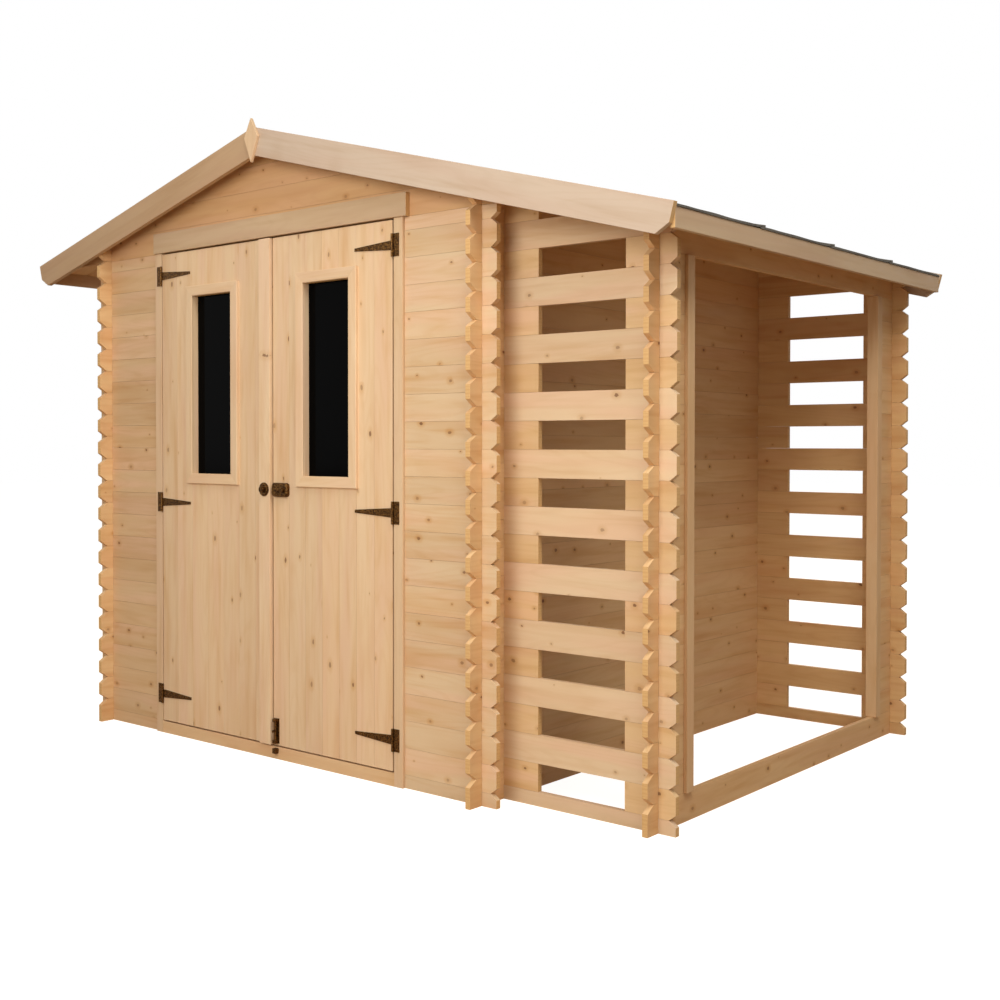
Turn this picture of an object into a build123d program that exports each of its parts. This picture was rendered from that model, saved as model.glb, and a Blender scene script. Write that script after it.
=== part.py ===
from build123d import *
import os
from math import cos, radians, sin, tan

# Garden shed of interlocking log boards with a log store built on its right side.
# Front doors face -Y, the log store stands on the +X side, and the ground is at Z = 0.

# Log boards
course = 90.0
board_thickness = 19.0
board_gap = 0.4
notch_clearance = 0.5
tail_x = 60.0
tail_y = 57.0
end_wall_cut_along = 24.0
end_wall_cut_high = 18.0
side_wall_cut_along = 32.0
side_wall_cut_high = 22.0

# Plan, measured between the matching faces of parallel walls
shed_bay = 2000.0
store_bay = 585.0
depth_bay = 1800.0
store_setback = 110.0

# Heights, counted in courses
shed_side_courses = 22
front_courses = 20
store_side_courses = 20

# Slots in the end walls of the log store
slot_from_partition = 139.0
slot_width = 328.0

# Open side of the log store
stub_length = 140.0

# Grooved posts at board ends, used in the doorway and in the store's open side
post_face = 40.0
post_proud = 12.0
post_groove = 12.0
groove_clearance = 0.5

# Doorway and doors
doorway_width = 1272.0
meeting_offset = 27.0
door_gap = 6.0
seat = 0.3
plank_count = 7
door_thickness = 19.0
ledge_height = 70.0
ledge_thickness = 19.0
ledge_inset = 40.0
head_trim_height = 78.0
head_trim_thickness = 19.0
head_trim_past_left = 2.0
head_trim_past_right = 22.0
cover_strip_width = 60.0
cover_strip_thickness = 12.0

# Windows in the doors
window_width = 230.0
window_over_ledge = 42.0
window_under_ledge = 19.0
window_trim_width = 38.0
window_trim_thickness = 12.0
window_trim_bevel = 4.0
pane_thickness = 3.0
pane_lap = 10.0
inner_frame_thickness = 14.0

# Hinges, latch and bolt
low_hinge = 156.0
middle_hinge = 913.0
top_hinge_drop = 84.0
hinge_plate_width = 24.0
hinge_plate_height = 76.0
hinge_metal = 2.5
strap_length = 180.0
strap_root = 32.0
strap_tip = 10.0
knuckle_radius = 4.5
pin_radius = 2.2
pin_clearance = 0.3
latch_height = 977.0
latch_case_high = 50.0
latch_case_long = 84.0
latch_case_deep = 15.0
latch_case_corner = 14.0
latch_from_edge = 4.0
latch_key_radius = 9.0
latch_key_deep = 9.0
catch_radius = 25.0
catch_metal = 4.0
catch_knob_radius = 11.0
catch_knob_deep = 14.0
bolt_plate_width = 26.0
bolt_plate_height = 90.0
bolt_rod_radius = 5.0
bolt_guide_wall = 3.0
bolt_guide_height = 12.0
bolt_rest_lift = 18.0
bolt_from_edge = 4.0
bolt_above_edge = 8.0
keeper_height = 18.0
keeper_below_sill_top = 4.0

# Roof
roof_pitch = 15.0
left_overhang = 398.0
right_overhang = 164.0
sheathing_thickness = 16.0
felt_thickness = 3.0
felt_lap = 30.0
felt_strips = 4
barge_thickness = 19.0
barge_width = 98.0
barge_rise = 8.0
barge_corner = 38.0
fascia_height = 60.0
fascia_thickness = 16.0
fascia_drop = 4.0
fascia_inset = 8.0
beam_width = 44.0
beam_depth = 70.0
beam_from_ridge = 500.0
finial_half_width = 36.0
finial_top = 30.0
finial_bottom = 128.0
finial_shoulder = 38.0
finial_thickness = 12.0

# Derived plan positions, with the origin at the middle of the roof's outline
roof_span = left_overhang + board_thickness + shed_bay + store_bay + right_overhang
wall_left_out = left_overhang - roof_span / 2
x_left = wall_left_out + board_thickness
x_mid = x_left + shed_bay
x_right = x_mid + store_bay
y_front = -(depth_bay + board_thickness) / 2
y_store = y_front + store_setback
y_back = y_front + depth_bay
x_centre = (wall_left_out + x_mid) / 2
eave_left = wall_left_out - left_overhang
eave_right = x_right + right_overhang

# Derived heights
half_course = course / 2
wall_top = half_course + front_courses * course + half_course
side_top = shed_side_courses * course
slope = tan(radians(roof_pitch))
half_shed = x_mid - x_centre
under_ridge = side_top + seat + half_shed * slope
sheathing_rise = sheathing_thickness / cos(radians(roof_pitch))
felt_rise = felt_thickness / cos(radians(roof_pitch))
top_ridge = under_ridge + sheathing_rise + seat
barge_ridge = top_ridge + barge_rise

# Derived door values
leaf_bottom = half_course + door_gap
leaf_top = wall_top - door_gap
hinge_heights = (low_hinge, middle_hinge, leaf_top - top_hinge_drop)
window_beside_ledge = ledge_height / 2 + window_trim_width
window_sill = hinge_heights[1] + window_over_ledge + window_beside_ledge
window_head = hinge_heights[2] - window_under_ledge - window_beside_ledge
window_height = window_head - window_sill
window_mid = (window_sill + window_head) / 2
door_front = y_front - post_proud
door_back = door_front + door_thickness
hinge_axis_y = door_front - knuckle_radius
left_axis_x = x_centre - doorway_width / 2 + door_gap / 2
right_axis_x = x_centre + doorway_width / 2 - door_gap / 2
meeting_left = x_centre + meeting_offset - door_gap / 2
meeting_right = meeting_left + door_gap
groove_depth_left = post_groove - groove_clearance
board_stop = doorway_width / 2 + post_face - groove_depth_left


def under_roof(x, lower=0.0):
    """Height of the sheathing's underside at x, less an allowance."""
    return under_ridge - abs(x - x_centre) * slope - lower


def wall_plane_x(y_low):
    """Plane for a wall along X, drawn in X and Z, that fills y_low to y_low plus a board."""
    return Plane.XZ.offset(-(y_low + board_thickness))


def wall_plane_y(x_high):
    """Plane for a wall along Y, drawn in Y and Z, whose +X face is at x_high."""
    return Plane.YZ.offset(x_high - board_thickness)


def end_outline(tip, inner, bottom, top, low_cut, high_cut):
    """Points up one end of a board, with its lower and upper corners cut where they are."""
    points = [(inner, bottom), (tip, bottom + low_cut)] if low_cut else [(tip, bottom)]
    points += [(tip, top - high_cut), (inner, top)] if high_cut else [(tip, top)]
    return points


def board_face(
    start,
    end,
    low,
    high,
    crossings=(),
    tails="",
    saddle=half_course,
    topped=(),
    along=end_wall_cut_along,
    cut=end_wall_cut_high,
):
    """Face of one log board, saddled from below over each wall that it crosses.

    The ends named in tails run past the corner and have their corners cut, but a board that
    was ripped in half has no such cut on its sawn edge. Crossings in topped are notched from
    above as well, for a half board that lies over this one. A corner cut reaches a distance
    along the board, and a height cut from its edge.
    """
    bottom = low + board_gap / 2 if low > 0 else low
    top = high - board_gap / 2
    is_half = high - low <= half_course
    low_cut = cut if low > 0 else 0
    high_cut = 0 if is_half and low > 0 else cut
    has_left, has_right = "start" in tails, "end" in tails
    left = end_outline(start, start + along, bottom, top, low_cut * has_left, high_cut * has_left)
    right = end_outline(end, end - along, bottom, top, low_cut * has_right, high_cut * has_right)
    under = []
    over = []
    for crossing in sorted(crossings):
        near = crossing - board_thickness - notch_clearance
        far = crossing + notch_clearance
        saddle_top = low + saddle + board_gap / 2
        under += [(near, bottom), (near, saddle_top), (far, saddle_top), (far, bottom)]
        if crossing in topped:
            floor = top - half_course / 2
            over = [(far, top), (far, floor), (near, floor), (near, top)] + over
    Polygon(*left[::-1], *under, *right, *over)


def cut_under_roof(clearance=seat):
    """Trims the active sketch of an end wall to the slope of the roof."""
    far_left = eave_left - course
    far_right = eave_right + course
    Polygon(
        (far_left, 0),
        (far_right, 0),
        (far_right, under_roof(far_right, clearance)),
        (x_centre, under_roof(x_centre, clearance)),
        (far_left, under_roof(far_left, clearance)),
        mode=Mode.INTERSECT,
    )


def save(part, label):
    """Labels a finished piece and writes its file."""
    part.label = label
    export_step(part, f"parts/{label}.step")


os.makedirs("parts", exist_ok=True)

# Crossings are named by the +X or +Y face of the wall that is crossed
front_y = y_front + board_thickness
store_y = y_store + board_thickness
back_y = y_back + board_thickness
shed_start_y = y_front - tail_y
store_start_y = y_store - tail_y
end_y = back_y + tail_y
start_x = wall_left_out - tail_x
front_end_x = x_mid + tail_x
store_end_x = x_right + tail_x


def side_board(start, end, k, crossings, tails, topped=()):
    """Face of the board of course k in a wall along Y, which starts with a whole board."""
    low, high = k * course, (k + 1) * course
    along, cut = side_wall_cut_along, side_wall_cut_high
    board_face(start, end, low, high, crossings, tails, topped=topped, along=along, cut=cut)


# Left side wall of the shed
top_side_board = shed_side_courses - 1
with BuildPart() as left_wall:
    with BuildSketch(wall_plane_y(x_left)):
        for k in range(shed_side_courses):
            crossings = (front_y, back_y)
            topped = crossings if k == top_side_board - 1 else ()
            side_board(shed_start_y, end_y, k, crossings, "start end", topped)
    extrude(amount=board_thickness)
save(left_wall.part, "left_wall")

# Right side wall of the shed, which is also the inner wall of the log store
with BuildPart() as partition_wall:
    with BuildSketch(wall_plane_y(x_mid)):
        for k in range(shed_side_courses):
            crossings = (front_y, store_y, back_y)
            topped = (front_y, back_y) if k == top_side_board - 1 else ()
            side_board(shed_start_y, end_y, k, crossings, "start end", topped)
    extrude(amount=board_thickness)
save(partition_wall.part, "partition_wall")

# Courses of a wall along X: half boards at its bottom and top, whole boards between
bottom_half = (0.0, half_course)
whole_courses = [(half_course + k * course, half_course + (k + 1) * course) for k in range(front_courses)]
top_half = (wall_top - half_course, wall_top)

# Front wall on both sides of the doorway
with BuildPart() as front_wall_left:
    with BuildSketch(wall_plane_x(y_front)):
        stop = x_centre - board_stop
        board_face(start_x, stop, *bottom_half, (), "start")
        for low, high in whole_courses:
            board_face(start_x, stop, low, high, (x_left,), "start")
        board_face(start_x, stop, *top_half, (x_left,), "start", saddle=half_course / 2)
    extrude(amount=board_thickness)
save(front_wall_left.part, "front_wall_left")

with BuildPart() as front_wall_right:
    with BuildSketch(wall_plane_x(y_front)):
        stop = x_centre + board_stop
        board_face(stop, front_end_x, *bottom_half, (), "end")
        for low, high in whole_courses:
            board_face(stop, front_end_x, low, high, (x_mid,), "end")
        board_face(stop, front_end_x, *top_half, (x_mid,), "end", saddle=half_course / 2)
    extrude(amount=board_thickness)
save(front_wall_right.part, "front_wall_right")


def gable(y_low, x_stop, label):
    """Writes one gable up to x_stop, its lowest board slotted from above for both side walls."""
    count = round((under_ridge - wall_top) / course)
    slot_width_x = board_thickness + 2 * notch_clearance
    slot_floor = wall_top + half_course - board_gap / 2
    with BuildPart() as gable_part:
        with BuildSketch(wall_plane_x(y_low)):
            for k in range(count):
                low = wall_top + k * course + board_gap / 2
                high = under_ridge if k == count - 1 else wall_top + (k + 1) * course - board_gap / 2
                Polygon((eave_left, low), (x_stop, low), (x_stop, high), (eave_left, high))
            cut_under_roof()
            with Locations(
                (x_left - board_thickness / 2, slot_floor),
                (x_mid - board_thickness / 2, slot_floor),
            ):
                Rectangle(slot_width_x, course, align=(Align.CENTER, Align.MIN), mode=Mode.SUBTRACT)
        extrude(amount=board_thickness)
    save(gable_part.part, label)


gable(y_front, front_end_x, "front_gable")
gable(y_back, eave_right, "rear_gable")

# Back wall: long boards run behind the shed and the log store
slot_left = x_mid + slot_from_partition
slot_right = slot_left + slot_width
slot_courses = whole_courses[0::2]
rail_courses = whole_courses[1::2]
all_crossings = (x_left, x_mid, x_right)

with BuildPart() as back_rails:
    with BuildSketch(wall_plane_x(y_back)):
        board_face(start_x, store_end_x, *bottom_half, (), "start end")
        for low, high in rail_courses:
            board_face(start_x, store_end_x, low, high, all_crossings, "start end")
        cut_under_roof()
    extrude(amount=board_thickness)
save(back_rails.part, "back_wall_rails")

with BuildPart() as back_boards:
    with BuildSketch(wall_plane_x(y_back)):
        for low, high in slot_courses:
            board_face(start_x, slot_left, low, high, (x_left, x_mid), "start")
        board_face(start_x, slot_left, *top_half, (x_left, x_mid), "start", saddle=half_course / 2)
    extrude(amount=board_thickness)
save(back_boards.part, "back_wall_boards")

with BuildPart() as back_blocks:
    with BuildSketch(wall_plane_x(y_back)):
        for low, high in slot_courses:
            board_face(slot_right, store_end_x, low, high, (x_right,), "end")
    extrude(amount=board_thickness)
save(back_blocks.part, "store_back_blocks")

# Front wall of the log store, set back from the shed's front
inner_tail_x = x_mid - board_thickness - tail_x
with BuildPart() as store_rails:
    with BuildSketch(wall_plane_x(y_store)):
        board_face(inner_tail_x, store_end_x, *bottom_half, (), "start end")
        for low, high in rail_courses:
            board_face(inner_tail_x, store_end_x, low, high, (x_mid, x_right), "start end")
        cut_under_roof()
    extrude(amount=board_thickness)
save(store_rails.part, "store_front_rails")

top_block = (rail_courses[-1][1], rail_courses[-1][1] + course)
with BuildPart() as store_inner_blocks:
    with BuildSketch(wall_plane_x(y_store)):
        for low, high in slot_courses + [top_block]:
            board_face(inner_tail_x, slot_left, low, high, (x_mid,), "start")
        board_face(x_mid + notch_clearance, slot_left, top_block[1], top_block[1] + course)
        cut_under_roof()
    extrude(amount=board_thickness)
save(store_inner_blocks.part, "store_front_inner_blocks")

with BuildPart() as store_outer_blocks:
    with BuildSketch(wall_plane_x(y_store)):
        for low, high in slot_courses:
            board_face(slot_right, store_end_x, low, high, (x_right,), "end")
    extrude(amount=board_thickness)
save(store_outer_blocks.part, "store_front_outer_blocks")

# Open side of the log store: a sill, a header and short boards at both ends
store_side_top = store_side_courses * course
front_stub_end = y_store + stub_length + groove_depth_left
back_stub_end = y_back + board_thickness - stub_length - groove_depth_left

with BuildPart() as store_sill:
    with BuildSketch(wall_plane_y(x_right)):
        side_board(store_start_y, end_y, 0, (store_y, back_y), "start end")
    extrude(amount=board_thickness)
save(store_sill.part, "store_side_sill")

with BuildPart() as store_header:
    with BuildSketch(wall_plane_y(x_right)):
        side_board(store_start_y, end_y, store_side_courses - 1, (store_y, back_y), "start end")
    extrude(amount=board_thickness)
save(store_header.part, "store_side_header")

with BuildPart() as store_front_stubs:
    with BuildSketch(wall_plane_y(x_right)):
        for k in range(1, store_side_courses - 1):
            side_board(store_start_y, front_stub_end, k, (store_y,), "start")
    extrude(amount=board_thickness)
save(store_front_stubs.part, "store_side_front_stubs")

with BuildPart() as store_back_stubs:
    with BuildSketch(wall_plane_y(x_right)):
        for k in range(1, store_side_courses - 1):
            side_board(back_stub_end, end_y, k, (back_y,), "end")
    extrude(amount=board_thickness)
save(store_back_stubs.part, "store_side_back_stubs")


def post_section(groove_on_right):
    """Section of a grooved post in plan, drawn with its groove towards +x or -x."""
    side = 1 if groove_on_right else -1
    Rectangle(post_face, board_thickness + 2 * post_proud)
    with Locations((side * (post_face / 2 - post_groove / 2), 0)):
        Rectangle(post_groove, board_thickness + 2 * groove_clearance, mode=Mode.SUBTRACT)


post_mid_y = y_front + board_thickness / 2
post_offset = (doorway_width + post_face) / 2

with BuildPart() as door_post_left:
    with BuildSketch(Plane((x_centre - post_offset, post_mid_y, 0))):
        post_section(False)
    extrude(amount=wall_top - seat)
save(door_post_left.part, "door_post_left")

with BuildPart() as door_post_right:
    with BuildSketch(Plane((x_centre + post_offset, post_mid_y, 0))):
        post_section(True)
    extrude(amount=wall_top - seat)
save(door_post_right.part, "door_post_right")

# Posts of the store's open side stand between the sill and the header
post_low = course + seat
post_tall = store_side_top - 2 * course - 2 * seat
post_mid_x = x_right - board_thickness / 2
front_post_y = y_store + stub_length + post_face / 2
back_post_y = y_back + board_thickness - stub_length - post_face / 2

with BuildPart() as store_post_front:
    with BuildSketch(Plane((post_mid_x, front_post_y, post_low), x_dir=(0, 1, 0))):
        post_section(False)
    extrude(amount=post_tall)
save(store_post_front.part, "store_post_front")

with BuildPart() as store_post_back:
    with BuildSketch(Plane((post_mid_x, back_post_y, post_low), x_dir=(0, 1, 0))):
        post_section(True)
    extrude(amount=post_tall)
save(store_post_back.part, "store_post_back")

# Threshold between the door posts
with BuildPart() as threshold:
    with BuildSketch(Plane.XY):
        with Locations((x_centre, (door_front + front_y) / 2)):
            Rectangle(doorway_width - 2 * seat, front_y - door_front)
    extrude(amount=half_course)
save(threshold.part, "threshold")

# Trim board over the doors, fixed to the gable's face
head_trim_left = x_centre - doorway_width / 2 - post_face - head_trim_past_left
head_trim_right = x_centre + doorway_width / 2 + post_face + head_trim_past_right
with BuildPart() as head_trim:
    with BuildSketch(Plane.XZ.offset(-(y_front - seat))):
        with Locations((head_trim_left, wall_top)):
            head_trim_long = head_trim_right - head_trim_left
            Rectangle(head_trim_long, head_trim_height, align=(Align.MIN, Align.MIN))
    extrude(amount=head_trim_thickness)
save(head_trim.part, "door_head_trim")


def door_leaf(outer_edge, meeting_edge, word):
    """Writes the planks, ledges and window pieces of the door leaf between two edges."""
    leaf_middle = (outer_edge + meeting_edge) / 2
    leaf_width = abs(outer_edge - meeting_edge)
    middle = (outer_edge + x_centre) / 2
    pitch = (leaf_width + board_gap) / plank_count
    leaf_mid = (leaf_bottom + leaf_top) / 2
    with BuildPart() as planks:
        with BuildSketch(Plane.XZ.offset(-door_back)):
            with Locations((leaf_middle, leaf_mid)):
                with GridLocations(pitch, 1, plank_count, 1):
                    Rectangle(pitch - board_gap, leaf_top - leaf_bottom)
            with Locations((middle, window_mid)):
                Rectangle(window_width, window_height, mode=Mode.SUBTRACT)
        extrude(amount=door_thickness)
    save(planks.part, f"{word}_door_planks")

    with BuildPart() as ledges:
        with BuildSketch(Plane.XZ.offset(-(door_back + ledge_thickness))):
            for height in hinge_heights:
                with Locations((leaf_middle, height)):
                    Rectangle(leaf_width - 2 * ledge_inset, ledge_height)
        extrude(amount=ledge_thickness)
    save(ledges.part, f"{word}_door_ledges")

    with BuildPart() as trim:
        with BuildSketch(Plane.XZ.offset(-door_front)):
            with Locations((middle, window_mid)):
                Rectangle(window_width + 2 * window_trim_width, window_height + 2 * window_trim_width)
                Rectangle(window_width, window_height, mode=Mode.SUBTRACT)
        extrude(amount=window_trim_thickness)
        front_face = trim.faces().sort_by(Axis.Y)[0]
        chamfer(front_face.outer_wire().edges(), length=window_trim_bevel)
    save(trim.part, f"{word}_window_trim")

    with BuildPart() as pane:
        with BuildSketch(Plane.XZ.offset(-(door_back + seat + pane_thickness))):
            with Locations((middle, window_mid)):
                Rectangle(window_width + 2 * pane_lap, window_height + 2 * pane_lap)
        extrude(amount=pane_thickness)
    save(pane.part, f"{word}_window_pane")

    with BuildPart() as inner:
        with BuildSketch(Plane.XZ.offset(-(door_back + inner_frame_thickness))):
            with Locations((middle, window_mid)):
                Rectangle(window_width + 2 * window_trim_width, window_height + 2 * window_trim_width)
                Rectangle(window_width, window_height, mode=Mode.SUBTRACT)
        extrude(amount=inner_frame_thickness)
        rebate = pane_lap + seat
        with BuildSketch(Plane.XZ.offset(-(door_back + pane_thickness + 2 * seat))):
            with Locations((middle, window_mid)):
                Rectangle(window_width + 2 * rebate, window_height + 2 * rebate)
        extrude(amount=pane_thickness + 2 * seat, mode=Mode.SUBTRACT)
    save(inner.part, f"{word}_window_inner_frame")


door_leaf(x_centre - doorway_width / 2 + door_gap, meeting_left, "left")
door_leaf(x_centre + doorway_width / 2 - door_gap, meeting_right, "right")

# Cover strip on the left leaf beside the meeting edge
strip_mid = meeting_left - cover_strip_width / 2
with BuildPart() as cover_strip:
    with BuildSketch(Plane.XZ.offset(-door_front)):
        with Locations((strip_mid, (leaf_bottom + leaf_top) / 2)):
            Rectangle(cover_strip_width, leaf_top - leaf_bottom)
    extrude(amount=cover_strip_thickness)
save(cover_strip.part, "left_door_cover_strip")


def hinge_set(side, word):
    """Writes the frame plates and the door straps of one leaf's three T hinges."""
    axis_x = left_axis_x if side < 0 else right_axis_x
    inward = -side
    middle_knuckle = strap_root - 2 * seat
    end_knuckle = (hinge_plate_height - strap_root) / 2 - seat
    plate_mid = axis_x - inward * hinge_plate_width / 2
    with BuildPart() as plates:
        for height in hinge_heights:
            with BuildSketch(Plane.XZ.offset(-door_front)):
                with Locations((plate_mid - inward * knuckle_radius, height)):
                    Rectangle(hinge_plate_width, hinge_plate_height)
            extrude(amount=hinge_metal)
            for end in (-1, 1):
                tab_mid = height + end * (strap_root + end_knuckle + 2 * seat) / 2
                with BuildSketch(Plane((axis_x, hinge_axis_y, tab_mid - end_knuckle / 2))):
                    Circle(knuckle_radius)
                extrude(amount=end_knuckle)
                with BuildSketch(Plane.XZ.offset(-door_front)):
                    with Locations((axis_x - inward * knuckle_radius / 2, tab_mid)):
                        Rectangle(knuckle_radius, end_knuckle)
                extrude(amount=hinge_metal)
            with BuildSketch(Plane((axis_x, hinge_axis_y, height - hinge_plate_height / 2))):
                Circle(pin_radius)
            extrude(amount=hinge_plate_height)
    save(plates.part, f"{word}_hinge_plates")

    with BuildPart() as straps:
        for height in hinge_heights:
            with BuildSketch(Plane.XZ.offset(-door_front)):
                Polygon(
                    (axis_x, height - middle_knuckle / 2),
                    (axis_x + inward * knuckle_radius, height - strap_root / 2),
                    (axis_x + inward * strap_length, height - strap_tip / 2),
                    (axis_x + inward * strap_length, height + strap_tip / 2),
                    (axis_x + inward * knuckle_radius, height + strap_root / 2),
                    (axis_x, height + middle_knuckle / 2),
                )
            extrude(amount=hinge_metal)
            with BuildSketch(Plane((axis_x, hinge_axis_y, height - middle_knuckle / 2))):
                Circle(knuckle_radius)
            extrude(amount=middle_knuckle)
            with BuildSketch(Plane((axis_x, hinge_axis_y, height - strap_root / 2))):
                Circle(pin_radius + pin_clearance)
            extrude(amount=strap_root, mode=Mode.SUBTRACT)
    save(straps.part, f"{word}_hinge_straps")


hinge_set(-1, "left")
hinge_set(1, "right")

# Latch: a case on the right leaf, and a round plate with a knob on the left leaf's strip
strip_front = door_front - cover_strip_thickness
latch_mid_x = meeting_right + latch_from_edge + latch_case_long / 2

with BuildPart() as latch:
    with BuildSketch(Plane.XZ.offset(-door_front)):
        with Locations((latch_mid_x, latch_height)):
            RectangleRounded(latch_case_long, latch_case_high, latch_case_corner)
    extrude(amount=latch_case_deep)
    latch_face = latch.faces().sort_by(Axis.Y)[0]
    chamfer(latch_face.outer_wire().edges(), length=latch_case_deep / 4)
    with BuildSketch(Plane.XZ.offset(-(door_front - latch_case_deep))):
        with Locations((latch_mid_x + latch_case_long / 4, latch_height)):
            Circle(latch_key_radius)
    extrude(amount=latch_key_deep)
save(latch.part, "right_door_latch")

with BuildPart() as catch:
    with BuildSketch(Plane.XZ.offset(-strip_front)):
        with Locations((strip_mid, latch_height)):
            Circle(catch_radius)
    extrude(amount=catch_metal)
    with BuildSketch(Plane.XZ.offset(-(strip_front - catch_metal))):
        with Locations((strip_mid, latch_height)):
            Circle(catch_knob_radius)
    extrude(amount=catch_knob_deep)
save(catch.part, "left_door_catch")

# Bottom bolt on the right leaf, and its keeper on the threshold
bolt_x = meeting_right + bolt_from_edge + bolt_plate_width / 2
bolt_axis_y = door_front - hinge_metal - bolt_rod_radius - pin_clearance
bolt_low = leaf_bottom + bolt_above_edge
guide_width = 2 * (bolt_rod_radius + pin_clearance + bolt_guide_wall)
guide_depth = 2 * (bolt_rod_radius + pin_clearance) + bolt_guide_wall

with BuildPart() as bolt_plate:
    with BuildSketch(Plane.XZ.offset(-door_front)):
        with Locations((bolt_x, bolt_low)):
            Rectangle(bolt_plate_width, bolt_plate_height, align=(Align.CENTER, Align.MIN))
    extrude(amount=hinge_metal)
    for guide_low in (bolt_low, bolt_low + bolt_plate_height - bolt_guide_height):
        with BuildSketch(Plane((bolt_x, door_front - hinge_metal, guide_low))):
            Rectangle(guide_width, guide_depth, align=(Align.CENTER, Align.MAX))
        extrude(amount=bolt_guide_height)
    with BuildSketch(Plane((bolt_x, bolt_axis_y, bolt_low))):
        Circle(bolt_rod_radius + pin_clearance)
    extrude(amount=bolt_plate_height, mode=Mode.SUBTRACT)
save(bolt_plate.part, "right_door_bolt_plate")

rod_low = half_course + bolt_rest_lift
with BuildPart() as bolt_rod:
    with BuildSketch(Plane((bolt_x, bolt_axis_y, rod_low))):
        Circle(bolt_rod_radius)
    extrude(amount=bolt_low + bolt_plate_height - rod_low)
    with BuildSketch(Plane.XZ.offset(-(bolt_axis_y - bolt_rod_radius / 2))):
        with Locations((bolt_x, bolt_low + bolt_plate_height / 2)):
            Circle(bolt_rod_radius)
    extrude(amount=2 * bolt_rod_radius)
save(bolt_rod.part, "right_door_bolt_rod")

keeper_top = half_course - keeper_below_sill_top
with BuildPart() as keeper:
    with BuildSketch(Plane((bolt_x, door_front, keeper_top - keeper_height))):
        keeper_depth = guide_depth + hinge_metal
        Rectangle(guide_width, keeper_depth, align=(Align.CENTER, Align.MAX))
        with Locations((0, bolt_axis_y - door_front)):
            Circle(bolt_rod_radius + pin_clearance, mode=Mode.SUBTRACT)
    extrude(amount=keeper_height)
save(keeper.part, "threshold_bolt_keeper")

# Roof
roof_front = shed_start_y - seat
roof_back = end_y + seat
roof_run_y = roof_back - roof_front
roof_mid_y = (roof_front + roof_back) / 2
fascia_left_out = eave_left + fascia_inset
fascia_right_out = eave_right - fascia_inset
sheet_left = fascia_left_out + fascia_thickness + seat
sheet_right = fascia_right_out - fascia_thickness - seat
roof_section = Plane.XZ.offset(-roof_back)


def slope_strip(x_edge, low_rise, high_rise):
    """Face of a sheet that follows the roof from x_edge to the ridge, between two rises."""
    split = board_gap / 2 if x_edge > x_centre else -board_gap / 2
    ridge_x = x_centre + split
    Polygon(
        (x_edge, under_roof(x_edge) + low_rise),
        (ridge_x, under_roof(ridge_x) + low_rise),
        (ridge_x, under_roof(ridge_x) + high_rise),
        (x_edge, under_roof(x_edge) + high_rise),
    )


with BuildPart() as roof_left:
    with BuildSketch(roof_section):
        slope_strip(sheet_left, 0, sheathing_rise)
    extrude(amount=roof_run_y)
save(roof_left.part, "roof_boards_left")

with BuildPart() as roof_right:
    with BuildSketch(roof_section):
        slope_strip(sheet_right, 0, sheathing_rise)
    extrude(amount=roof_run_y)
save(roof_right.part, "roof_boards_right")

# Felt: strips laid over the ridge from eave to eave, each lapped onto the next
felt_low = sheathing_rise + seat
felt_pitch = roof_run_y / felt_strips


def felt_side(x_edge, label):
    """Writes the felt of one slope as overlapping strips joined at their laps."""
    with BuildPart() as felt:
        with BuildSketch(roof_section):
            slope_strip(x_edge, felt_low, felt_low + felt_rise)
        extrude(amount=roof_run_y)
        for k in range(1, felt_strips):
            lap_back = roof_front + k * felt_pitch + felt_lap
            with BuildSketch(Plane.XZ.offset(-lap_back)):
                slope_strip(x_edge, felt_low + felt_rise, felt_low + 2 * felt_rise)
            extrude(amount=felt_lap)
    save(felt.part, label)


felt_side(fascia_left_out - felt_thickness, "roof_felt_left")
felt_side(fascia_right_out + felt_thickness, "roof_felt_right")


def beam_face(x_mid_beam, width, depth):
    """Face of a roof beam whose top follows the sheathing's underside."""
    left = x_mid_beam - width / 2
    right = x_mid_beam + width / 2
    bottom = min(under_roof(left), under_roof(right)) - depth
    points = [(left, bottom), (right, bottom), (right, under_roof(right, seat))]
    if left < x_centre < right:
        points += [(x_centre, under_roof(x_centre, seat))]
    points += [(left, under_roof(left, seat))]
    Polygon(*points)


# Ridge beam and side beams run between the gables
beam_start = y_back - seat
beam_run = y_back - front_y - 2 * seat
with BuildPart() as ridge_beam:
    with BuildSketch(Plane.XZ.offset(-beam_start)):
        beam_face(x_centre, beam_width, beam_depth)
    extrude(amount=beam_run)
save(ridge_beam.part, "ridge_beam")

with BuildPart() as side_beams:
    with BuildSketch(Plane.XZ.offset(-beam_start)):
        beam_face(x_centre - beam_from_ridge, beam_width, beam_depth)
        beam_face(x_centre + beam_from_ridge, beam_width, beam_depth)
    extrude(amount=beam_run)
save(side_beams.part, "side_beams")

# Plate on the store's header, filling up to the roof
with BuildPart() as store_plate:
    with BuildSketch(Plane.XZ.offset(-beam_start)):
        plate_left = x_right - board_thickness
        Polygon(
            (plate_left, store_side_top),
            (x_right, store_side_top),
            (x_right, under_roof(x_right, seat)),
            (plate_left, under_roof(plate_left, seat)),
        )
    extrude(amount=y_back - store_y - 2 * seat)
save(store_plate.part, "store_wall_plate")


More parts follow.
